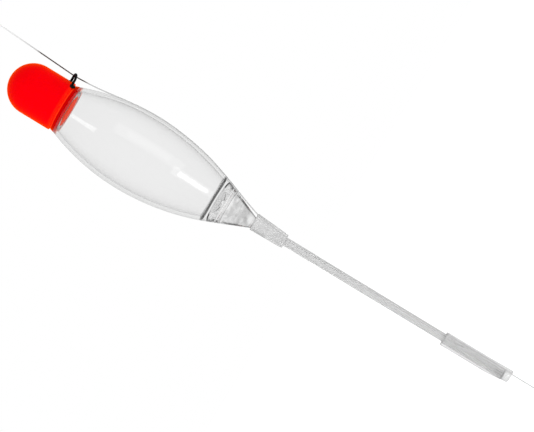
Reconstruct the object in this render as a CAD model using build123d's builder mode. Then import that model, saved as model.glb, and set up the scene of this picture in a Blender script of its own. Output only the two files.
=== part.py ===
"""A clear fishing float with a red tip, a stem on a silicone coupling and its fishing line.

Lengths are in millimetres. +Z runs up the axis to the tip and the origin is the middle of the
line sleeve's mouth. The line, the wire eye and the sleeves' line slots lie in the XZ plane at +X.
"""

import math
import os

from build123d import *

os.makedirs("parts", exist_ok=True)

# Clearances
seat_gap = 0.05  # between flat faces that seat on each other
glue_gap = 0.05  # radial, between glued spigots and their sockets
push_gap = 0.04  # radial, between a sleeve and what slides in it
tube_gap = 0.02  # radial, between pieces that stay together
line_gap = 0.03  # between the line and the stem, and round the line in a slot
stop_gap = 0.3  # between the stem's top and the nipple's tip

# Stem and its end plug
stem_radius = 1.0
stem_wall = 0.4
stem_length = 70.5
stem_recess = 1.7  # from the sleeve's mouth up to the stem's end
plug_head = 0.5
plug_depth = 2.5

# Line sleeve
sleeve_length = 19.7
sleeve_wall = 0.95
sleeve_mouth_wall = 0.71
sleeve_mouth_shift = 0.4  # towards the line
sleeve_taper = 6.0

# Coupling sleeve
coupling_length = 9.5
coupling_top_wall = 1.06  # over the nipple
coupling_top_shift = 0.4  # towards the line
coupling_bottom_wall = 0.88  # over the stem
coupling_bottom_shift = 0.1
slot_wall = 0.15  # of the sleeve left outside the line's slot at the mouth

# Tail plug
nipple_radius = 1.3
nipple_length = 4.6
nipple_chamfer = 0.3
nipple_step = 0.26  # from the nipple out to the cone's tip
cone_height = 8.5
shoulder_step = 0.1  # from the body's tail in to the shoulder
shoulder_height = 0.3
plug_spigot_height = 2.2
cup_wall = 1.05  # of the cupped spigot
pocket_depth = 1.9
boss_radius = 1.0

# Body shell: its side is two arcs that meet upright at the belly
tail_radius = 5.3
belly_radius = 10.75
belly_height = 26.1  # above the tail's seam
neck_radius = 6.85
shell_length = 47.1
shell_wall = 1.0
top_plate = 0.6
bulkhead = 0.7
socket_wall = 1.0  # round the tail plug's spigot
socket_depth = 2.55

# Tip cap
cap_radius = 6.82
cap_height = 15.35
cap_lip_chamfer = 0.2
groove_depth = 0.42
groove_height = 0.5
flange_land = 0.1  # from the groove out to the flange's top edge
flange_step = 0.05  # from the body's neck in to the flange
flange_height = 1.1
spigot_radius = 4.5
spigot_wall = 1.0
spigot_length = 0.7
core_cover = 3.5  # red plastic left above the core

# Wire eye
wire_radius = 0.285
eye_half_width = 1.25  # to the middle of each leg
eye_height = 0.85  # of its middle above the cap's lip
eye_stand = 1.18  # from the cap's side to the middle of its round top
eye_cover = 0.92  # red plastic left between each leg's foot and the core
eye_twist = 24.0  # degrees about its reach

# Fishing line
line_diameter = 0.32
eye_bend_radius = 2.0
loop_radius = 1.7
knot_radius = 0.45
knot_length = 1.8

# Heights
stem_top = stem_recess + stem_length
nipple_tip = stem_top + stop_gap
cone_tip = nipple_tip + nipple_length
cone_top = cone_tip + cone_height
tail_seam = cone_top + shoulder_height
belly_z = tail_seam + belly_height
shell_bottom = tail_seam + seat_gap
shell_top = tail_seam + shell_length
flange_bottom = shell_top + seat_gap
flange_top = flange_bottom + flange_height
cap_lip = flange_top + groove_height
cap_top = cap_lip + cap_height
coupling_top = cone_tip - seat_gap
coupling_bottom = coupling_top - coupling_length

# Radii and places across the axis
stem_bore_radius = stem_radius - stem_wall
sleeve_radius = stem_radius + sleeve_wall
sleeve_mouth_radius = stem_radius + sleeve_mouth_wall
coupling_bottom_radius = stem_radius + coupling_bottom_wall
coupling_top_radius = nipple_radius + coupling_top_wall
cone_tip_radius = nipple_radius + nipple_step
shoulder_radius = tail_radius - shoulder_step
socket_radius = tail_radius - socket_wall
plug_spigot_radius = socket_radius - glue_gap
pocket_radius = plug_spigot_radius - cup_wall
core_radius = spigot_radius - spigot_wall
groove_radius = cap_radius - groove_depth
flange_top_radius = groove_radius + flange_land
flange_radius = neck_radius - flange_step
eye_reach = cap_radius + eye_stand
line_radius = line_diameter / 2
line_x = stem_radius + line_gap + line_radius  # the line beside the stem
slot_half_width = line_radius + line_gap


def side_radius(end_radius, end_z):
    """The radius of the arc from the belly to one end of the body."""
    pinch = belly_radius - end_radius
    return (pinch**2 + (end_z - belly_z) ** 2) / (2 * pinch)


lower_side = side_radius(tail_radius, shell_bottom)
upper_side = side_radius(neck_radius, shell_top)


def barrel(bottom, top, inset=0.0):
    """Draws the half outline of the body, or of its chamber with the wall as the inset."""
    belly = (belly_radius - inset, belly_z)
    ends = []
    for side, z in ((lower_side, bottom), (upper_side, top)):
        reach = math.sqrt((side - inset) ** 2 - (z - belly_z) ** 2)
        ends.append((belly_radius - side + reach, z))
    RadiusArc(ends[0], belly, inset - lower_side)
    RadiusArc(belly, ends[1], inset - upper_side)
    Polyline(ends[1], (0, top), (0, bottom), ends[0])


def save(piece, name):
    piece.part.label = name
    export_step(piece.part, f"parts/{name}.step")


# Body shell: a spindle with a plate at the top, a bulkhead and a socket at the tail
chamber_bottom = shell_bottom + socket_depth + bulkhead
chamber_top = shell_top - top_plate
with BuildPart() as body_shell:
    with BuildSketch(Plane.XZ):
        with BuildLine():
            barrel(shell_bottom, shell_top)
        make_face()
    revolve(axis=Axis.Z)
    with BuildSketch(Plane.XZ):
        with BuildLine():
            barrel(chamber_bottom, chamber_top, shell_wall)
        make_face()
    revolve(axis=Axis.Z, mode=Mode.SUBTRACT)
    with BuildSketch(Plane.XY.offset(shell_top)):
        Circle(spigot_radius + glue_gap)
    extrude(amount=-top_plate, mode=Mode.SUBTRACT)
    with BuildSketch(Plane.XY.offset(shell_bottom)):
        Circle(socket_radius)
    extrude(amount=socket_depth, mode=Mode.SUBTRACT)
save(body_shell, "body_shell")

# Tip cap: a dome over a groove, a flange and a short spigot, cored from below
dome_base = cap_top - cap_radius
core_top = cap_top - core_cover
spigot_bottom = flange_bottom - spigot_length
eye_z = cap_lip + eye_height
eye_normal = (0, math.sin(math.radians(eye_twist)), -math.cos(math.radians(eye_twist)))
eye_plane = Plane(origin=(eye_reach, 0, eye_z), x_dir=(1, 0, 0), z_dir=eye_normal)
leg_foot = core_radius + eye_cover - eye_reach  # from the middle of the eye's round top
with BuildPart() as tip_cap:
    with BuildSketch(Plane.XZ):
        with BuildLine():
            outline = Polyline(
                (core_radius, spigot_bottom),
                (spigot_radius, spigot_bottom),
                (spigot_radius, flange_bottom),
                (flange_radius, flange_bottom),
                (flange_top_radius, flange_top),
                (groove_radius, flange_top),
                (groove_radius, cap_lip),
                (cap_radius - cap_lip_chamfer, cap_lip),
                (cap_radius, cap_lip + cap_lip_chamfer),
                (cap_radius, dome_base),
            )
            dome = RadiusArc(outline @ 1, (0, cap_top), -cap_radius)
            core = RadiusArc((0, core_top), (core_radius, core_top - core_radius), core_radius)
            Line(dome @ 1, core @ 0)
            Line(core @ 1, outline @ 0)
        make_face()
    revolve(axis=Axis.Z)
    for side in (1, -1):
        foot = eye_plane.from_local_coords((leg_foot, side * eye_half_width, 0))
        with BuildSketch(Plane(origin=foot, z_dir=(1, 0, 0))):
            Circle(wire_radius + tube_gap)
        extrude(amount=cap_radius, mode=Mode.SUBTRACT)
save(tip_cap, "tip_cap")

# Wire eye: a staple whose two legs are pressed into the cap
with BuildPart() as wire_eye:
    with BuildLine(eye_plane) as staple:
        Line((leg_foot + tube_gap, eye_half_width), (0, eye_half_width))
        ThreePointArc((0, eye_half_width), (eye_half_width, 0), (0, -eye_half_width))
        Line((0, -eye_half_width), (leg_foot + tube_gap, -eye_half_width))
    with BuildSketch(Plane(origin=staple.line @ 0, z_dir=staple.line % 0)):
        Circle(wire_radius)
    sweep(path=staple.line)
save(wire_eye, "wire_eye")

# Tail plug: a cone with a cupped spigot above it and a nipple below it
spigot_top = tail_seam + plug_spigot_height
pocket_bottom = spigot_top - pocket_depth
boss_top = shell_bottom + socket_depth - seat_gap
with BuildPart() as tail_plug:
    with BuildSketch(Plane.XZ):
        with BuildLine():
            Polyline(
                (0, nipple_tip),
                (nipple_radius - nipple_chamfer, nipple_tip),
                (nipple_radius, nipple_tip + nipple_chamfer),
                (nipple_radius, cone_tip),
                (cone_tip_radius, cone_tip),
                (shoulder_radius, cone_top),
                (shoulder_radius, tail_seam),
                (plug_spigot_radius, tail_seam),
                (plug_spigot_radius, spigot_top),
                (pocket_radius, spigot_top),
                (pocket_radius, pocket_bottom),
                (boss_radius, pocket_bottom),
                (boss_radius, boss_top),
                (0, boss_top),
                close=True,
            )
        make_face()
    revolve(axis=Axis.Z)
save(tail_plug, "tail_plug")

# Fishing line: its route in the XZ plane, from the upper loop down to the lower one
route = [
    (10.29, 162.0),
    (8.75, 135.5),  # in the wire eye
    (9.1, 129.0),
    (10.92, 116.93),
    (11.08, 108.9),
    (9.97, 99.81),
    (8.04, 92.18),
    (2.25, 77.1),  # in the coupling's mouth
    (1.19, 70.5),
    (1.19, -14.0),
    (0.95, -26.0),
]
points = [Vector(x, 0, z) for x, z in route]
runs = [after - before for before, after in zip(points, points[1:])]
bends = []
for before, after in zip(runs, runs[1:]):
    half_turn = math.radians(before.get_angle(after)) / 2
    bends.append(0.45 * min(before.length, after.length) / math.tan(half_turn))
bends[0] = eye_bend_radius
with BuildPart() as fishing_line:
    with BuildLine() as line_path:
        FilletPolyline(*points, radius=bends)
    with BuildSketch(Plane(origin=line_path.line @ 0, z_dir=line_path.line % 0)):
        Circle(line_radius)
    sweep(path=line_path.line)
save(fishing_line, "fishing_line")
line_length = line_path.wires()[0].length
print("bend radii", [round(bend, 1) for bend in bends])
print("line length", round(line_length, 2), "volume", round(fishing_line.part.volume, 3))
print("section times length", round(math.pi * line_radius**2 * line_length, 3))

# Line loops: a knot with a ring of line beyond it, at each end of the line
for name, end, way in (
    ("upper_line_loop", points[0], -runs[0].normalized()),
    ("lower_line_loop", points[-1], runs[-1].normalized()),
):
    ring_middle = end + way * (knot_length + loop_radius)
    with BuildPart() as line_loop:
        with BuildSketch(Plane(origin=end, z_dir=way)):
            Circle(knot_radius)
        extrude(amount=knot_length)
        with BuildSketch(Plane(origin=ring_middle, x_dir=way, z_dir=(0, 1, 0))):
            with Locations((loop_radius, 0)):
                Circle(line_radius)
        revolve(axis=Axis(ring_middle, way.cross(Vector(0, 1, 0))))
    save(line_loop, name)

# Stem: a thin tube
with BuildPart() as stem:
    with BuildSketch(Plane.XY.offset(stem_recess)):
        Circle(stem_radius)
        Circle(stem_bore_radius, mode=Mode.SUBTRACT)
    extrude(amount=stem_length)
    with BuildSketch(Plane.XY.offset(stem_recess)):
        Circle(stem_radius)
    extrude(amount=plug_head, mode=Mode.SUBTRACT)
save(stem, "stem")

# Stem end plug: a headed plug in the stem's lower end
with BuildPart() as stem_end_plug:
    with BuildSketch(Plane.XY.offset(stem_recess)):
        Circle(stem_radius)
    extrude(amount=plug_head)
    with BuildSketch(Plane.XY.offset(stem_recess + plug_head)):
        Circle(stem_bore_radius - tube_gap)
    extrude(amount=plug_depth)
save(stem_end_plug, "stem_end_plug")

# Coupling sleeve: over the nipple and the stem, swollen where the line enters it
slot_x = line_x + slot_half_width
mouth_slot_x = coupling_top_radius + coupling_top_shift - slot_wall
with BuildPart() as coupling_sleeve:
    for height, radius, shift in (
        (coupling_bottom, coupling_bottom_radius, coupling_bottom_shift),
        (coupling_top, coupling_top_radius, coupling_top_shift),
    ):
        with BuildSketch(Plane(origin=(shift, 0, height))):
            Circle(radius)
    loft()
    with BuildSketch(Plane.XY.offset(coupling_bottom)):
        Circle(stem_radius + tube_gap)
    extrude(amount=coupling_length, mode=Mode.SUBTRACT)
    with BuildSketch(Plane.XY.offset(stem_top)):
        Circle(nipple_radius + push_gap)
    extrude(amount=coupling_top - stem_top, mode=Mode.SUBTRACT)
    with BuildSketch(Plane.XZ):
        with BuildLine():
            Polyline(
                (0, coupling_bottom),
                (slot_x, coupling_bottom),
                (mouth_slot_x, coupling_top),
                (0, coupling_top),
                close=True,
            )
        make_face()
    extrude(amount=slot_half_width, both=True, mode=Mode.SUBTRACT)
save(coupling_sleeve, "coupling_sleeve")

# Line sleeve: slides on the stem, with a slot for the line from end to end
with BuildPart() as line_sleeve:
    for bottom, bottom_radius, shift, top in (
        (0, sleeve_mouth_radius, sleeve_mouth_shift, sleeve_taper),
        (sleeve_taper, sleeve_radius, 0, sleeve_length),
    ):
        with BuildSketch(Plane(origin=(shift, 0, bottom))):
            Circle(bottom_radius)
        with BuildSketch(Plane.XY.offset(top)):
            Circle(sleeve_radius)
        loft()
    with BuildSketch():
        Circle(stem_radius + push_gap)
        with Locations((slot_x / 2, 0)):
            Rectangle(slot_x, 2 * slot_half_width)
    extrude(amount=sleeve_length, mode=Mode.SUBTRACT)
save(line_sleeve, "line_sleeve")
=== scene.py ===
"""The looks of a clear fishing float with a red tip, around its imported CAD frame.

Blender works in metres. Sizes and heights here are in millimetres, as in the CAD, and become
metres where a mesh, a curve or a light is made. +Z runs up the axis to the tip.
"""

import math

import bpy
from mathutils import Matrix, Vector


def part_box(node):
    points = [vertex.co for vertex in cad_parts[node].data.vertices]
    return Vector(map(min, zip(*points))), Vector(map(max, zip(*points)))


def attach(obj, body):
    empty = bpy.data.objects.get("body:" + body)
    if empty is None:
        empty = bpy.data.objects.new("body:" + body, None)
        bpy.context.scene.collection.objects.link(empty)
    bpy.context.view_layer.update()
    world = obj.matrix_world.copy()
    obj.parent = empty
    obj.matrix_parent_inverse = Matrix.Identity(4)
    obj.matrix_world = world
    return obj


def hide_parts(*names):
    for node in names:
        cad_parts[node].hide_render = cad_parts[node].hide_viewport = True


mm = 0.001
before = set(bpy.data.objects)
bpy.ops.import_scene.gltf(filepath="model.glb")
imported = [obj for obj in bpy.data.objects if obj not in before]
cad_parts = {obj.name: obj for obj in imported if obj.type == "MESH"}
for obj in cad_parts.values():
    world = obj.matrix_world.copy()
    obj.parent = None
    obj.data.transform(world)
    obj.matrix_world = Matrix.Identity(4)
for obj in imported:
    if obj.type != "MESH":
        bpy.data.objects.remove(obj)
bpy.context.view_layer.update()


def heights(node):
    """A node's lowest and highest height, in millimetres."""
    low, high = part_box(node)
    return low.z / mm, high.z / mm


def reach(node):
    """How far a node reaches along +X, in millimetres."""
    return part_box(node)[1].x / mm


# Heights and radii that the frame gives
shell_low, shell_high = heights("body_shell")
belly_radius = reach("body_shell")
spigot_low, cap_top = heights("tip_cap")
plug_low, plug_top = heights("tail_plug")
stem_low, stem_high = heights("stem")
stem_radius = reach("stem")
end_low, end_high = heights("stem_end_plug")
coupling_low, coupling_high = heights("coupling_sleeve")
sleeve_low, sleeve_high = heights("line_sleeve")

# Body shell
tail_radius = 5.3
neck_radius = 6.85
belly_z = shell_low + 26.05
shell_wall = 1.0
socket_radius = 4.2  # cemented: the plug's spigot reaches 0.05 into it
cement_bed = 0.07  # the shell's tail reaches this far into the plug's shoulder
socket_depth = 2.55
bulkhead = 0.7
top_plate = 0.6
neck_bore = 4.48  # glued: the cap's spigot reaches 0.02 into it
glue_bed = 0.15  # the shell's top reaches this far into the cap's flange
bulkhead_low = shell_low + socket_depth
bulkhead_high = bulkhead_low + bulkhead

# Tip cap
cap_radius = 6.82
flange_radius = 6.8
flange_top_radius = 6.5
groove_radius = 6.4
spigot_radius = 4.5
core_radius = 3.5
core_cover = 3.5
painted_glow_depth = 1.5  # how far up the core its edge has a painted glow
spigot_length = 0.7
flange_low = spigot_low + spigot_length
flange_top = flange_low + 1.1
cap_lip = flange_top + 0.5

# Tail plug
nipple_radius = 1.3
cone_tip_radius = 1.56
shoulder_radius = 5.2
cup_radius = 4.25
pocket_radius = 3.2
boss_radius = 1.0
cone_tip = plug_low + 4.6
cone_top = cone_tip + 8.5
tail_seam = cone_top + 0.3
cup_top = tail_seam + 2.2
pocket_low = cup_top - 1.9

# Stem, sleeves and line
stem_bore = 0.6
end_head = 0.5
line_radius = 0.16
line_x = 1.19  # where the line runs beside the stem
coupling_low_radius, coupling_low_shift = 1.88, 0.1
coupling_high_radius, coupling_high_shift = 2.36, 0.4
sleeve_radius = 1.95
sleeve_mouth_radius, sleeve_mouth_shift = 1.71, 0.4
sleeve_taper = 6.0
grip_bed = 0.01  # a stretched sleeve reaches this far into what it holds
slot_radius = line_radius + 0.03  # of a sleeve's slot for the line
slot_bend_z, slot_mouth_z = 70.5, 77.1  # between these the coupling's slot leans out
slot_mouth_x = 2.22
slot_curve = 1.15
least_wall = 0.12  # outside the coupling's slot
bore_step = 0.8  # the coupling's bore widens from the stem to the nipple over this height
sleeve_wave = 0.015  # unevenness of a sleeve's outside
cut_ripple = 0.02  # unevenness of its cut ends
ring_gap = 0.8  # between the rings of its mesh
line_low, line_high = -26.0, 162.0
brown_low, brown_high = 133.0, 146.0
brown_fade = 1.5
palest_z = 156.0  # the line is palest from here up

# Wire eye
wire_radius = 0.285
varnish_coat = 0.045
eye_half_width = 1.25
eye_reach = 8.0
eye_z = cap_lip + 0.85
eye_twist = math.radians(24)
leg_end = core_radius + 0.94  # in the cap's wall
leg_knee = 6.5  # a leg is straight out to here
bead_height = 0.3
bead_wobble = 0.06


# Camera

view_side = math.radians(16)  # round from -Y towards +X
view_roll = math.radians(58.76)
aim_height = 74.94
aim_side = 3.33
seen_width = 137.5  # across the view, at the float
lens, sensor = 135.0, 36.0

side = Vector((math.cos(view_side), math.sin(view_side), 0))
back = Vector((math.sin(view_side), -math.cos(view_side), 0))
up = Vector((0, 0, 1))
right = side * math.cos(view_roll) - up * math.sin(view_roll)
top = side * math.sin(view_roll) + up * math.cos(view_roll)
aim = (up * aim_height + side * aim_side) * mm

camera = bpy.data.objects.new("camera", bpy.data.cameras.new("camera"))
camera.data.lens, camera.data.sensor_width = lens, sensor
camera.data.clip_start, camera.data.clip_end = 0.01, 20
turn = Matrix((right, top, back)).transposed().to_4x4()
camera.matrix_world = Matrix.Translation(aim + back * seen_width * mm * lens / sensor) @ turn
bpy.context.scene.collection.objects.link(camera)
bpy.context.scene.camera = camera


# Materials


def grey(level):
    """An even grey, from 0 for black to 1 for white."""
    return (level, level, level)


# The second grey is painted shade, for the dark line that the clear bulkhead shows
white, painted_bulkhead_shade = grey(1.0), grey(0.03)
painted_cap_glow = (1.0, 0.1, 0.04)  # painted glow: the cap's red light, in the clear plate that it is glued to
# Painted shade darkens the red towards the flange, and a painted orange glow lines the groove
painted_shade_red, warm_red, bright_red = (0.5, 0.0, 0.001), (0.85, 0.008, 0.003), (0.78, 0.0, 0.003)
painted_groove_glow = (1.0, 0.035, 0.006)


def plastic(name, colour, roughness, **constants):
    """A Principled material. A constant's name is its socket's, with _ for each space."""
    material = bpy.data.materials.new(name)
    material.use_nodes = True
    shader = material.node_tree.nodes["Principled BSDF"]
    shader.inputs["Base Color"].default_value = (*colour, 1)
    shader.inputs["Roughness"].default_value = roughness
    for socket, value in constants.items():
        shader.inputs[socket.replace("_", " ")].default_value = value
    return material


def grain(material, scale, stretch=(1, 1, 1), colours=None, roughness=None, relief=0.0):
    """Unevenness in the piece's own space, with scale in waves per millimetre.

    colours and roughness are the two ends that the noise mixes, and relief is in millimetres.
    """
    tree = material.node_tree
    shader = tree.nodes["Principled BSDF"]
    place = tree.nodes.new("ShaderNodeTexCoord")
    spread = tree.nodes.new("ShaderNodeMapping")
    spread.inputs["Scale"].default_value = [scale / mm * way for way in stretch]
    noise = tree.nodes.new("ShaderNodeTexNoise")
    noise.inputs["Scale"].default_value = 1
    noise.inputs["Detail"].default_value = 3
    tree.links.new(place.outputs["Object"], spread.inputs["Vector"])
    tree.links.new(spread.outputs["Vector"], noise.inputs["Vector"])
    if colours:
        mix = tree.nodes.new("ShaderNodeMix")
        mix.data_type = "RGBA"
        mix.inputs["A"].default_value = (*colours[0], 1)
        mix.inputs["B"].default_value = (*colours[1], 1)
        tree.links.new(noise.outputs["Fac"], mix.inputs["Factor"])
        tree.links.new(mix.outputs["Result"], shader.inputs["Base Color"])
    if roughness:
        span = tree.nodes.new("ShaderNodeMapRange")
        span.inputs["To Min"].default_value, span.inputs["To Max"].default_value = roughness
        tree.links.new(noise.outputs["Fac"], span.inputs["Value"])
        tree.links.new(span.outputs["Result"], shader.inputs["Roughness"])
    if relief:
        bump = tree.nodes.new("ShaderNodeBump")
        bump.inputs["Distance"].default_value = relief * mm
        tree.links.new(noise.outputs["Fac"], bump.inputs["Height"])
        if shader.inputs["Normal"].is_linked:
            before = shader.inputs["Normal"].links[0].from_socket
            tree.links.new(before, bump.inputs["Normal"])
        tree.links.new(bump.outputs["Normal"], shader.inputs["Normal"])
    return material


def tint(material, share, colour, blend="MIX"):
    """Blends a colour into a material's own. The share and the colour are values or sockets."""
    tree = material.node_tree
    base = tree.nodes["Principled BSDF"].inputs["Base Color"]
    mix = tree.nodes.new("ShaderNodeMix")
    mix.data_type, mix.blend_type = "RGBA", blend
    tree.links.new(base.links[0].from_socket, mix.inputs["A"])
    for socket, value in ((mix.inputs["Factor"], share), (mix.inputs["B"], colour)):
        if isinstance(value, bpy.types.NodeSocket):
            tree.links.new(value, socket)
        else:
            socket.default_value = value
    tree.links.new(mix.outputs["Result"], base)


def painted_dark_edges(material, shade, sharpness):
    """Tints a clear material with painted shade where its surface turns edge on, as glass looks."""
    tree = material.node_tree
    facing = tree.nodes.new("ShaderNodeLayerWeight")
    narrow = tree.nodes.new("ShaderNodeMath")
    narrow.operation = "POWER"
    narrow.inputs[1].default_value = sharpness
    tree.links.new(facing.outputs["Facing"], narrow.inputs[0])
    tint(material, narrow.outputs["Value"], (*shade, 1))


def washed_out(material):
    """Turns a colour grey past three bounces, so that clear pieces don't carry it far."""
    tree = material.node_tree
    path = tree.nodes.new("ShaderNodeLightPath")
    deep = tree.nodes.new("ShaderNodeMath")
    deep.operation = "GREATER_THAN"
    deep.inputs[1].default_value = 3.5
    tree.links.new(path.outputs["Ray Depth"], deep.inputs[0])
    tint(material, deep.outputs["Value"], (*grey(0.5), 1))


def mottle(material, scale, shade, top, fade_depth=1.0):
    """Cloudy patches of painted shade that fade in below a height. Scale is in waves per
    millimetre.
    """
    tree = material.node_tree
    place = tree.nodes.new("ShaderNodeTexCoord")
    noise = tree.nodes.new("ShaderNodeTexNoise")
    noise.inputs["Scale"].default_value = scale / mm
    noise.inputs["Detail"].default_value = 2
    patches = tree.nodes.new("ShaderNodeMapRange")
    patches.inputs["From Min"].default_value, patches.inputs["From Max"].default_value = 0.42, 0.66
    apart = tree.nodes.new("ShaderNodeSeparateXYZ")
    fade = tree.nodes.new("ShaderNodeMapRange")
    fade.interpolation_type = "SMOOTHSTEP"
    fade.inputs["From Min"].default_value = top * mm
    fade.inputs["From Max"].default_value = (top - fade_depth) * mm
    share = tree.nodes.new("ShaderNodeMath")
    share.operation = "MULTIPLY"
    tree.links.new(place.outputs["Object"], noise.inputs["Vector"])
    tree.links.new(noise.outputs["Fac"], patches.inputs["Value"])
    tree.links.new(place.outputs["Object"], apart.inputs["Vector"])
    tree.links.new(apart.outputs["Z"], fade.inputs["Value"])
    tree.links.new(patches.outputs["Result"], share.inputs[0])
    tree.links.new(fade.outputs["Result"], share.inputs[1])
    tint(material, share.outputs["Value"], (*shade, 1), "MULTIPLY")


def fill_ramp(ramp, stops):
    """Gives a colour ramp its stops of (position, colour)."""
    for _ in range(len(stops) - 2):
        ramp.elements.new(0.5)
    for element, (position, colour) in zip(ramp.elements, stops):
        element.position = position
        element.color = (*colour, 1)


def bands(material, stops):
    """Tints a material by height, with stops of (height in millimetres, colour) going up."""
    tree = material.node_tree
    low, high = stops[0][0], stops[-1][0]
    place = tree.nodes.new("ShaderNodeTexCoord")
    apart = tree.nodes.new("ShaderNodeSeparateXYZ")
    span = tree.nodes.new("ShaderNodeMapRange")
    span.inputs["From Min"].default_value = low * mm
    span.inputs["From Max"].default_value = high * mm
    ramp = tree.nodes.new("ShaderNodeValToRGB")
    shares = [((height - low) / (high - low), colour) for height, colour in stops]
    fill_ramp(ramp.color_ramp, shares)
    tree.links.new(place.outputs["Object"], apart.inputs["Vector"])
    tree.links.new(apart.outputs["Z"], span.inputs["Value"])
    tree.links.new(span.outputs["Result"], ramp.inputs["Fac"])
    tint(material, 1, ramp.outputs["Color"], "MULTIPLY")


def clear_moulding(name, tints, scale, relief, edge, ior=1.49):
    """Polished clear plastic with faint flow marks."""
    material = plastic(name, tints[0], 0.02, Transmission_Weight=1.0, IOR=ior)
    grain(material, scale, (1, 1, 0.3), colours=tints, roughness=(0.005, 0.035), relief=relief)
    # Painted shade: darker where the surface turns edge on
    painted_dark_edges(material, edge, 3.0)
    return material


def fluorescent_red():
    """Fluorescent red plastic, with a painted orange glow at its groove and painted shade darker
    towards its flange.
    """
    material = plastic(
        "fluorescent_red",
        (1.0, 0.0, 0.003),
        0.4,
        Subsurface_Weight=0.15,
        Subsurface_Radius=(1.0, 0.1, 0.02),
        Subsurface_Scale=1.0 * mm,
        Specular_IOR_Level=0.0,
        Sheen_Weight=1.0,
        Sheen_Roughness=0.3,
        Sheen_Tint=(1.0, 0.25, 0.0, 1),
    )
    grain(material, 0.35, colours=(white, grey(0.94)), roughness=(0.35, 0.5))
    grain(material, 6.0, relief=0.004)
    bands(
        material,
        (
            (flange_low - 1, painted_shade_red),
            (flange_top - 0.25, painted_shade_red),
            (flange_top - 0.08, painted_groove_glow),
            (flange_top + 0.08, painted_groove_glow),
            (flange_top + 0.2, warm_red),
            (cap_lip + 0.3, warm_red),
            (cap_lip + 0.8, bright_red),
        ),
    )
    washed_out(material)
    return material


def painted_glow_edge(name, colour, glow):
    """The same red plastic with a painted glow at an edge, for the light that fluorescent plastic
    gathers there.
    """
    material = plastic(
        name,
        colour,
        0.4,
        Specular_IOR_Level=0.0,
        Emission_Color=(*colour, 1),
        Emission_Strength=glow,
    )
    dimmer = [0.92 * part for part in colour]
    grain(material, 0.35, colours=(colour, dimmer), roughness=(0.35, 0.5))
    grain(material, 6.0, relief=0.004)
    washed_out(material)
    return material


def silicone(name, tints, clearness, edge, sharpness, roughness):
    """Milky silicone with faint lines along the tube."""
    material = plastic(name, tints[0], 0.2, Transmission_Weight=clearness, IOR=1.35)
    grain(material, 0.9, (1, 1, 0.12), colours=tints, roughness=roughness, relief=0.003)
    grain(material, 9.0, relief=0.001)
    # Painted shade: darker where the surface turns edge on
    painted_dark_edges(material, edge, sharpness)
    return material


def drawn_tube():
    """A translucent drawn tube with long draw lines."""
    material = plastic("drawn_tube", grey(0.9), 0.25, Transmission_Weight=0.86, IOR=1.4)
    tints = (grey(0.84), grey(0.91))
    grain(material, 1.6, (1, 1, 0.05), colours=tints, roughness=(0.2, 0.35), relief=0.001)
    # Painted shade: darker where the surface turns edge on
    painted_dark_edges(material, grey(0.4), 2.5)
    return material


def varnish():
    """Black varnish over wire."""
    material = plastic("black_varnish", grey(0.002), 0.5, Specular_IOR_Level=0.08)
    grain(material, 2.5, colours=(grey(0.001), grey(0.004)), roughness=(0.4, 0.6), relief=0.02)
    return material


def end_plug_plastic():
    """Grey plastic with a moulded grain, with painted shade darkest just inside the stem's end."""
    material = plastic("grey_plug", grey(0.8), 0.6)
    grain(material, 3.0, colours=(grey(0.7), white), relief=0.01)
    dull, bore_shade, pale = grey(0.15), grey(0.01), grey(0.7)
    neck, shade_end = end_low + end_head, end_low + 1.6
    # Darker at the head, and painted shade darkest inside the stem's bore
    bands(
        material,
        ((end_low, dull), (neck, dull), (neck + 0.1, bore_shade), (shade_end, bore_shade), (end_high, pale)),
    )
    return material


def monofilament():
    """Clear nylon line, brown where it passes the wire eye."""
    material = plastic("clear_nylon", grey(0.9), 0.2, Transmission_Weight=0.9, IOR=1.15)
    tints = (grey(0.86), grey(0.96))
    grain(material, 0.8, (1, 1, 0.1), colours=tints, roughness=(0.15, 0.3), relief=0.002)
    dull, brown_tint = grey(0.75), (0.07, 0.045, 0.035)
    bands(
        material,
        (
            (line_low, dull),
            (brown_low - brown_fade, dull),
            (brown_low, brown_tint),
            (brown_high, brown_tint),
            (brown_high + brown_fade, dull),
            (palest_z, white),
        ),
    )
    return material


clear_shell = clear_moulding(
    "clear_shell", tints=(grey(0.957), grey(0.972)), scale=0.12, relief=0.006, edge=grey(0.05)
)
# Painted shade: a dark band through the bulkhead
bands(
    clear_shell,
    (
        (bulkhead_low + 0.05, white),
        (bulkhead_low + 0.15, painted_bulkhead_shade),
        (bulkhead_high - 0.15, painted_bulkhead_shade),
        (bulkhead_high - 0.05, white),
        # Painted glow: the cap's red at the top of the shell
        (shell_high - 0.5, white),
        (shell_high - 0.35, painted_cap_glow),
        (shell_high, painted_cap_glow),
    ),
)
clear_tail = clear_moulding(
    "clear_tail", tints=(grey(0.98), white), scale=0.25, relief=0.0, edge=grey(0.1), ior=1.35
)
# Painted shade in patches on the clear cone
mottle(clear_tail, 0.55, grey(0.5), cone_top)
red = fluorescent_red()
# Painted glow for the cap's hidden edges: orange in its core and underside, red on its spigot
painted_glow_rim = painted_glow_edge("painted_glow_orange", (1.0, 0.06, 0.004), 0.4)
painted_glow_side = painted_glow_edge("painted_glow_red", (1.0, 0.004, 0.002), 0.35)
milky = silicone(
    "milky_silicone",
    tints=(grey(0.88), grey(0.96)),
    clearness=0.62,
    edge=grey(0.1),
    sharpness=2.2,
    roughness=(0.15, 0.28),
)
hazy = silicone(
    "hazy_silicone",
    tints=(grey(0.95), white),
    clearness=0.78,
    edge=grey(0.3),
    sharpness=2.0,
    roughness=(0.05, 0.12),
)
tube = drawn_tube()
black = varnish()
end_grey = end_plug_plastic()
nylon = monofilament()


# Making pieces


def settle(piece, material, body, slot, *nodes):
    """Gives a new piece its finish and its body, and hides the CAD nodes that it stands for."""
    piece.data.materials.append(material)
    bpy.context.scene.collection.objects.link(piece)
    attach(piece, body)
    if nodes:
        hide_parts(*nodes)
    return piece


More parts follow.
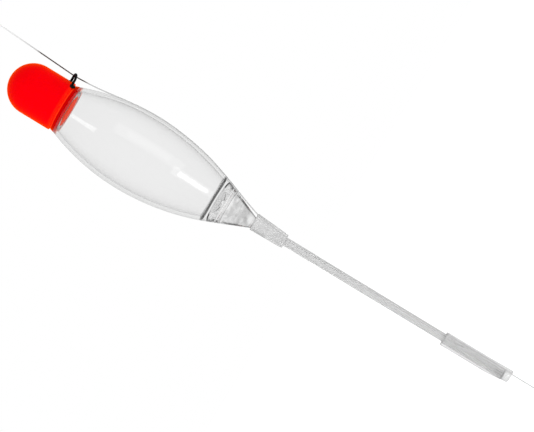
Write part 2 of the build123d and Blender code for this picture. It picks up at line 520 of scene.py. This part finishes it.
def solid(name, points, faces):
    """A smooth mesh from points in millimetres, with its flat faces kept flat to the eye."""
    mesh = bpy.data.meshes.new(name)
    mesh.from_pydata([Vector(point) * mm for point in points], [], faces)
    mesh.shade_smooth()
    piece = bpy.data.objects.new(name, mesh)
    piece.modifiers.new("flat_faces", "WEIGHTED_NORMAL")
    return piece


def soften(corners, steps=4):
    """An outline of (radius, height, rounding) corners, with each rounding as a small curve."""
    outline = []
    for i, (radius, height, rounding) in enumerate(corners):
        here = Vector((radius, height))
        if not rounding:
            outline.append(here)
            continue
        before = Vector(corners[i - 1][:2]) - here
        after = Vector(corners[(i + 1) % len(corners)][:2]) - here
        cut = min(rounding, 0.45 * before.length, 0.45 * after.length)
        start = here + before.normalized() * cut
        end = here + after.normalized() * cut
        for step in range(steps + 1):
            t = step / steps
            outline.append(start * (1 - t) ** 2 + here * 2 * t * (1 - t) + end * t**2)
    return outline


def skin(rings, turns):
    """Faces between rings of point numbers, with triangles where a ring is one point."""
    faces = []
    for low, high in zip(rings, rings[1:]):
        for turn in range(turns):
            after = (turn + 1) % turns
            face = (low[turn], low[after], high[after], high[turn])
            faces.append(tuple(dict.fromkeys(face)))
    return faces


def lathe(name, outline, turns):
    """Turns an outline that starts and ends on the axis, or a closed one that is clear of it."""
    on_axis = outline[0].x < 1e-6
    points, rings = [], []
    for radius, height in outline:
        if radius < 1e-6:
            rings.append([len(points)] * turns)
            points.append((0, 0, height))
            continue
        rings.append(range(len(points), len(points) + turns))
        for turn in range(turns):
            angle = math.tau * turn / turns
            points.append((radius * math.cos(angle), radius * math.sin(angle), height))
    if not on_axis:
        rings.append(rings[0])
    return solid(name, points, skin(rings, turns))


def arc(middle, radius, start, end, steps):
    """Corners along an arc about a point on the axis, between two angles from the horizon."""
    corners = []
    for step in range(steps + 1):
        angle = math.radians(start + (end - start) * step / steps)
        corners.append((radius * math.cos(angle), middle + radius * math.sin(angle), 0))
    return corners


# Fishing line: the route of the CAD's line, with a point beside each corner of its straight runs

route = [
    (10.29, line_high),
    (8.861, 137.42),
    (8.75, 135.5),  # in the wire eye
    (8.853, 133.58),
    (9.1, 129.0),
    (10.92, 116.93),
    (11.08, 108.9),
    (9.97, 99.81),
    (8.04, 92.18),
    (2.25, slot_mouth_z),  # in the coupling's mouth
    (line_x, slot_bend_z),
    (line_x, 63.9),
    (line_x, -2.0),
    (line_x, -14.0),
    (0.95, line_low),
]


def strand(name, points, radius, bevel):
    """A round strand along one open NURBS spline through points in millimetres."""
    curve = bpy.data.curves.new(name, "CURVE")
    curve.dimensions = "3D"
    curve.bevel_depth = radius * mm
    curve.bevel_resolution = bevel
    curve.resolution_u = 24
    curve.use_fill_caps = True
    spline = curve.splines.new("NURBS")
    spline.points.add(len(points) - 1)
    for place, point in zip(spline.points, points):
        place.co = (*(Vector(point) * mm), 1)
    spline.order_u = 3
    spline.use_endpoint_u = True
    return bpy.data.objects.new(name, curve)


def fishing_line():
    points = [(x, 0, z) for x, z in route]
    line = strand("fishing_line_strand", points, line_radius, bevel=6)
    return settle(line, nylon, "float_body", "fishing_line", "fishing_line")


knot_length = 1.8
loop_radius = 1.7
wraps, points_per_wrap = 5, 8
wrap_reach = 2 * line_radius - 0.02  # a wrap beds 0.02 into the line that it goes round


def line_loop(name, end, way, node):
    """A loop in the line's end with its tail wound back round the line: a barrel knot."""
    way = way.normalized()
    across = Vector((0, 1, 0))
    over = way.cross(across)
    points = [end, end + way * knot_length * 0.5, end + way * knot_length]
    middle = end + way * (knot_length + loop_radius)
    for step in range(13):
        angle = math.radians(150 - 25 * step)
        points.append(middle + (across * math.sin(angle) + way * math.cos(angle)) * loop_radius)
    for step in range(wraps * points_per_wrap + 1):
        angle = math.tau * step / points_per_wrap
        along = knot_length * (0.92 - 0.8 * step / (wraps * points_per_wrap))
        ring = (across * math.cos(angle) + over * math.sin(angle)) * wrap_reach
        points.append(end + way * along + ring)
    points.append(points[-1] + over * 0.7 + across * 0.4)
    loop = strand(name, points, line_radius, bevel=4)
    return settle(loop, nylon, "float_body", "fishing_line", node)


line = fishing_line()
upper_end, upper_next = (Vector((x, 0, z)) for x, z in route[:2])
lower_next, lower_end = (Vector((x, 0, z)) for x, z in route[-2:])
upper_loop = line_loop("upper_loop_knot", upper_end, upper_end - upper_next, "upper_line_loop")
lower_loop = line_loop("lower_loop_knot", lower_end, lower_end - lower_next, "lower_line_loop")


# Float body


def side_x(z, inset):
    """The body's radius at a height, or its chamber's with the wall as the inset."""
    end_radius, end_z = (tail_radius, shell_low) if z < belly_z else (neck_radius, shell_high)
    pinch = belly_radius - end_radius
    bend = (pinch**2 + (end_z - belly_z) ** 2) / (2 * pinch)
    return belly_radius - bend + math.sqrt((bend - inset) ** 2 - (z - belly_z) ** 2)


def side_corners(start, end, inset, steps=56):
    """Corners along the body's side from one height to another."""
    drawn = []
    for step in range(steps + 1):
        z = start + (end - start) * step / steps
        drawn.append((side_x(z, inset), z, 0))
    return drawn


def body_shell():
    chamber_high = shell_high - top_plate
    glued_top = shell_high + glue_bed
    cemented_low = shell_low - cement_bed
    outer = side_corners(cemented_low, glued_top, 0)
    inner = side_corners(chamber_high, bulkhead_high, shell_wall)
    outer[0] = (*outer[0][:2], 0.12)
    outer[-1] = (*outer[-1][:2], 0.06)
    inner[0] = (*inner[0][:2], 0.1)
    inner[-1] = (*inner[-1][:2], 0.4)
    corners = [
        (0, bulkhead_low, 0),
        (socket_radius, bulkhead_low, 0.1),
        (socket_radius, cemented_low, 0.08),
        *outer,
        (neck_bore, glued_top, 0.05),
        (neck_bore, chamber_high, 0.1),
        *inner,
        (0, bulkhead_high, 0),
    ]
    shell = lathe("clear_body_shell", soften(corners), 160)
    return settle(shell, clear_shell, "float_body", "clear_body", "body_shell")


def tip_cap():
    dome_base = cap_top - cap_radius
    core_base = cap_top - core_cover - core_radius
    corners = [
        *arc(core_base, core_radius, 90, 0, 12),
        (core_radius, flange_low + painted_glow_depth, 0),
        (core_radius, spigot_low, 0.1),
        (spigot_radius, spigot_low, 0.12),
        (spigot_radius, flange_low, 0.05),
        (flange_radius, flange_low, 0.1),
        (flange_top_radius, flange_top, 0.1),
        (groove_radius, flange_top, 0.04),
        (groove_radius, cap_lip, 0.08),
        (cap_radius, cap_lip, 0.25),
        *arc(dome_base, cap_radius, 0, 90, 40),
    ]
    cap = lathe("red_tip_cap", soften(corners), 160)
    settle(cap, red, "float_body", "red_cap", "tip_cap")
    cap.data.materials.append(painted_glow_rim)
    cap.data.materials.append(painted_glow_side)
    # Faces that get a painted glow: the core and underside orange, the spigot's side red
    for face in cap.data.polygons:
        out, height = math.hypot(*face.center[:2]) / mm, face.center.z / mm
        in_core = out < core_radius + 0.02 and height < flange_low + painted_glow_depth
        if in_core or height < spigot_low + 0.1:
            face.material_index = 1
        elif height < flange_low - 0.02:
            face.material_index = 2
    return cap


def tail_plug():
    corners = [
        (0, plug_low, 0),
        (nipple_radius, plug_low, 0.3),
        (nipple_radius, cone_tip, 0.05),
        (cone_tip_radius, cone_tip, 0.1),
        (shoulder_radius, cone_top, 0.2),
        (shoulder_radius, tail_seam, 0.05),
        (cup_radius, tail_seam, 0.05),
        (cup_radius, cup_top, 0.15),
        (pocket_radius, cup_top, 0.1),
        (pocket_radius, pocket_low, 0.25),
        (boss_radius, pocket_low, 0.2),
        (boss_radius, plug_top, 0.15),
        (0, plug_top, 0),
    ]
    plug = lathe("clear_tail_plug", soften(corners), 128)
    return settle(plug, clear_tail, "float_body", "clear_plug", "tail_plug")


def eye_point(out, across):
    """A point in the eye's twisted plane, out from the axis and across from its middle."""
    return Vector((out, across * math.cos(eye_twist), eye_z + across * math.sin(eye_twist)))


def wire_eye():
    path = [eye_point(leg_end, eye_half_width), eye_point(leg_knee, eye_half_width)]
    for step in range(25):
        angle = math.radians(90 - 7.5 * step)
        out = eye_reach + eye_half_width * math.cos(angle)
        path.append(eye_point(out, eye_half_width * math.sin(angle)))
    path += [eye_point(leg_knee, -eye_half_width), eye_point(leg_end, -eye_half_width)]
    eye = strand("black_wire_eye", path, wire_radius + varnish_coat, bevel=8)
    return settle(eye, black, "float_body", "black_wire", "wire_eye")


def eye_bead(name, turn, height, half_length, half_width, turns=36, rings=16):
    """A black bead on the cap's side: its middle is turn radians round the cap."""
    points, loops = [], []
    for ring in range(rings + 1):
        lean = math.pi * ring / rings
        radius = cap_radius + bead_height * math.cos(lean)
        first = len(points)
        at_pole = ring in (0, rings)
        loops.append([first] * turns if at_pole else range(first, first + turns))
        for step in range(1 if at_pole else turns):
            angle = math.tau * step / turns
            wobble = 1 + bead_wobble * math.sin(3 * angle + turn)
            round_cap = turn + half_length * math.sin(lean) * math.cos(angle) * wobble / cap_radius
            z = height + half_width * math.sin(lean) * math.sin(angle) * wobble
            points.append((radius * math.cos(round_cap), radius * math.sin(round_cap), z))
    return settle(solid(name, points, skin(loops, turns)), black, "float_body", "black_wire")


def eye_beads():
    """Black beads where each leg of the eye enters the cap: a long one on the near side."""
    foot = eye_point(cap_radius, -eye_half_width)
    turn = math.atan2(foot.y, foot.x) - 0.08
    eye_bead("eye_bead_near", turn, foot.z - 0.3, half_length=0.95, half_width=0.75)
    foot = eye_point(cap_radius, eye_half_width)
    turn = math.atan2(foot.y, foot.x)
    eye_bead("eye_bead_far", turn, foot.z, half_length=0.55, half_width=0.5)


body_shell()
tip_cap()
tail_plug()
wire_eye()
eye_beads()


# Stem and sleeves


def stem():
    corners = [
        (stem_bore, stem_low, 0),
        (stem_radius, stem_low, 0.06),
        (stem_radius, stem_high, 0.06),
        (stem_bore, stem_high, 0.04),
        (stem_bore, stem_low + end_head, 0),  # keeps the bore's shading even above its end
    ]
    piece = lathe("drawn_stem", soften(corners), 64)
    return settle(piece, tube, "stem_set", "stem_tube", "stem")


def stem_end():
    corners = [
        (0, end_low, 0),
        (stem_radius, end_low, 0.15),
        (stem_radius, end_low + end_head, 0.05),
        (stem_bore, end_low + end_head, 0.03),
        (stem_bore, end_high, 0.1),
        (0, end_high, 0),
    ]
    piece = lathe("grey_stem_end", soften(corners), 48)
    return settle(piece, end_grey, "stem_set", "grey_plug", "stem_end_plug")


def bore_reach(angle, bore, bulge_x):
    """How far a stretched bore reaches: round the stem and round the line beside it."""
    furthest = bore
    for step in range(1, 13):
        share = step / 12
        x = bulge_x * share
        radius = bore + (slot_radius - bore) * share
        inside = radius**2 - (x * math.sin(angle)) ** 2
        if inside > 0:
            furthest = max(furthest, x * math.cos(angle) + math.sqrt(inside))
    return furthest


def sleeve(name, low, high, wall_at, cut_tilt, turns=96):
    """A silicone sleeve: wall_at(z, angle) gives its inner and outer reach at a height."""
    rounded = soften([(0, low, 0.2), (1, low, 0.25), (1, high, 0.25), (0, high, 0.2)])
    outline = []
    for i, here in enumerate(rounded):
        after = rounded[(i + 1) % len(rounded)]
        steps = max(1, round((after - here).length / ring_gap))
        outline += [here.lerp(after, step / steps) for step in range(steps)]
    points, rings = [], []
    for share, height in outline:
        rings.append(range(len(points), len(points) + turns))
        for turn in range(turns):
            angle = math.tau * turn / turns
            inner, outer = wall_at(height, angle)
            outer += sleeve_wave * math.sin(3 * angle + 0.7 * height) * math.sin(0.9 * height)
            radius = inner + (outer - inner) * share
            x, y = radius * math.cos(angle), radius * math.sin(angle)
            end_share = max(0.0, 1 - min(height - low, high - height))
            ripple = cut_ripple * math.sin(5 * angle) * end_share
            points.append((x, y, height + (cut_tilt * x + ripple) * end_share))
    rings.append(rings[0])
    return solid(name, points, skin(rings, turns))


def coupling_wall(z, angle):
    """The coupling's wall: its bore widens for the nipple, and its slot leans out with the line."""
    share = (z - coupling_low) / (coupling_high - coupling_low)
    outer = coupling_low_radius + (coupling_high_radius - coupling_low_radius) * share
    shift = coupling_low_shift + (coupling_high_shift - coupling_low_shift) * share
    rise = min(1.0, max(0.0, (z - stem_high + bore_step / 2) / bore_step))
    bore = stem_radius + (nipple_radius - stem_radius) * rise - grip_bed
    lean = max(0.0, (z - slot_bend_z) / (slot_mouth_z - slot_bend_z)) ** slot_curve
    line_out = line_x + (slot_mouth_x - line_x) * lean
    reach_out = shift * math.cos(angle) + math.sqrt(outer**2 - (shift * math.sin(angle)) ** 2)
    inner = min(bore_reach(angle, bore, line_out), reach_out - least_wall)
    return inner, reach_out


def sleeve_wall(z, angle):
    """The line sleeve's wall, narrower at its mouth and pushed towards the line there."""
    share = max(0.0, 1 - (z - sleeve_low) / sleeve_taper)
    outer = sleeve_radius + (sleeve_mouth_radius - sleeve_radius) * share
    shift = sleeve_mouth_shift * share
    reach_out = shift * math.cos(angle) + math.sqrt(outer**2 - (shift * math.sin(angle)) ** 2)
    return bore_reach(angle, stem_radius - grip_bed, line_x), reach_out


stem()
stem_end()
coupling = sleeve("coupling_tube", coupling_low, coupling_high, coupling_wall, cut_tilt=0.03)
settle(coupling, milky, "stem_set", "silicone", "coupling_sleeve")
line_grip = sleeve("line_grip_tube", sleeve_low, sleeve_high, sleeve_wall, cut_tilt=-0.02)
settle(line_grip, hazy, "grip", "silicone", "line_sleeve")


# Stage and light

floor_z = -36.0
floor_reach = 3000


def stage():
    signs = ((-1, -1), (1, -1), (1, 1), (-1, 1))
    corners = [Vector((x * floor_reach, y * floor_reach, floor_z)) * mm for x, y in signs]
    mesh = bpy.data.meshes.new("floor")
    mesh.from_pydata(corners, [], [(0, 1, 2, 3)])
    floor = bpy.data.objects.new("floor", mesh)
    white_glow = {"Emission_Color": (*white, 1), "Emission_Strength": 0.5}
    paper = plastic("floor_paper", grey(0.92), 0.9, **white_glow)
    floor.data.materials.append(paper)
    floor.visible_glossy = False
    floor.visible_transmission = False
    bpy.context.scene.collection.objects.link(floor)


def surroundings():
    """White behind everything, and the grey of a studio in what the plastic shows of it."""
    world = bpy.data.worlds.new("studio")
    world.use_nodes = True
    bpy.context.scene.world = world
    tree = world.node_tree
    glow = tree.nodes["Background"]
    place = tree.nodes.new("ShaderNodeTexCoord")
    apart = tree.nodes.new("ShaderNodeSeparateXYZ")
    ramp = tree.nodes.new("ShaderNodeValToRGB")
    ramp.color_ramp.interpolation = "B_SPLINE"
    span = tree.nodes.new("ShaderNodeMapRange")
    span.inputs["From Min"].default_value = -1
    tree.links.new(place.outputs["Generated"], apart.inputs["Vector"])
    tree.links.new(apart.outputs["Z"], span.inputs["Value"])
    tree.links.new(span.outputs["Result"], ramp.inputs["Fac"])
    levels = ((0.0, 0.75), (0.2, 0.8), (0.4, 0.91), (0.7, 0.92), (0.88, 0.55), (1.0, 0.45))
    fill_ramp(ramp.color_ramp, [(position, grey(level)) for position, level in levels])
    path = tree.nodes.new("ShaderNodeLightPath")
    mix = tree.nodes.new("ShaderNodeMix")
    mix.data_type = "RGBA"
    mix.inputs["B"].default_value = (*white, 1)
    tree.links.new(path.outputs["Is Camera Ray"], mix.inputs["Factor"])
    tree.links.new(ramp.outputs["Color"], mix.inputs["A"])
    tree.links.new(mix.outputs["Result"], glow.inputs["Color"])


def softbox(name, place, aim_at, width, height, radiance):
    """A rectangular light at a place in millimetres, aimed at a point."""
    data = bpy.data.lights.new(name, "AREA")
    data.shape = "RECTANGLE"
    data.size, data.size_y = width * mm, height * mm
    data.energy = radiance * math.pi * data.size * data.size_y
    lamp = bpy.data.objects.new(name, data)
    place, aim_at = Vector(place), Vector(aim_at)
    facing = (aim_at - place).to_track_quat("-Z", "Y").to_matrix().to_4x4()
    lamp.matrix_world = Matrix.Translation(place * mm) @ facing
    lamp.visible_camera = False
    bpy.context.scene.collection.objects.link(lamp)
    return lamp


bpy.context.scene.view_settings.view_transform = "Standard"
bounces = bpy.context.scene.cycles
bounces.max_bounces = bounces.transmission_bounces = bounces.glossy_bounces = 24
stage()
surroundings()
middle = up * 110  # about the middle of the body, where the lights aim


def toward(across, rise):
    """A direction from the float, in degrees round from the camera and up from its level."""
    across, rise = math.radians(across), math.radians(rise)
    level = back * math.cos(across) + side * math.sin(across)
    return level * math.cos(rise) + up * math.sin(rise)


# Shown as highlights on the outside of the float, but not through its clear body
reflected = (
    softbox("panel", middle + toward(32, 0) * 800, middle, 460, 560, 0.8),
    softbox("panel_heart", middle + toward(32, 0) * 790, middle, 240, 340, 0.56),
    softbox("window", middle + toward(12, -28) * 800, middle, 380, 340, 1.3),
)
# Also lights the inside of the body, where its far wall shows a second highlight
softbox("window_heart", middle + toward(12, -28) * 790, middle, 220, 240, 2.4)
for lamp in reflected:
    lamp.visible_transmission = False
# These only give light
unseen = (
    softbox("key", middle + toward(-15, 12) * 850, middle, 500, 900, 1.15),
    softbox("fill", middle + toward(-75, 0) * 760, middle, 500, 900, 1.1),
    softbox("rim", middle + toward(130, 5) * 760, middle, 500, 900, 0.9),
    softbox("overhead", middle + up * 900, middle, 700, 700, 1.25),
)
for lamp in unseen:
    lamp.visible_glossy = False
    lamp.visible_transmission = False
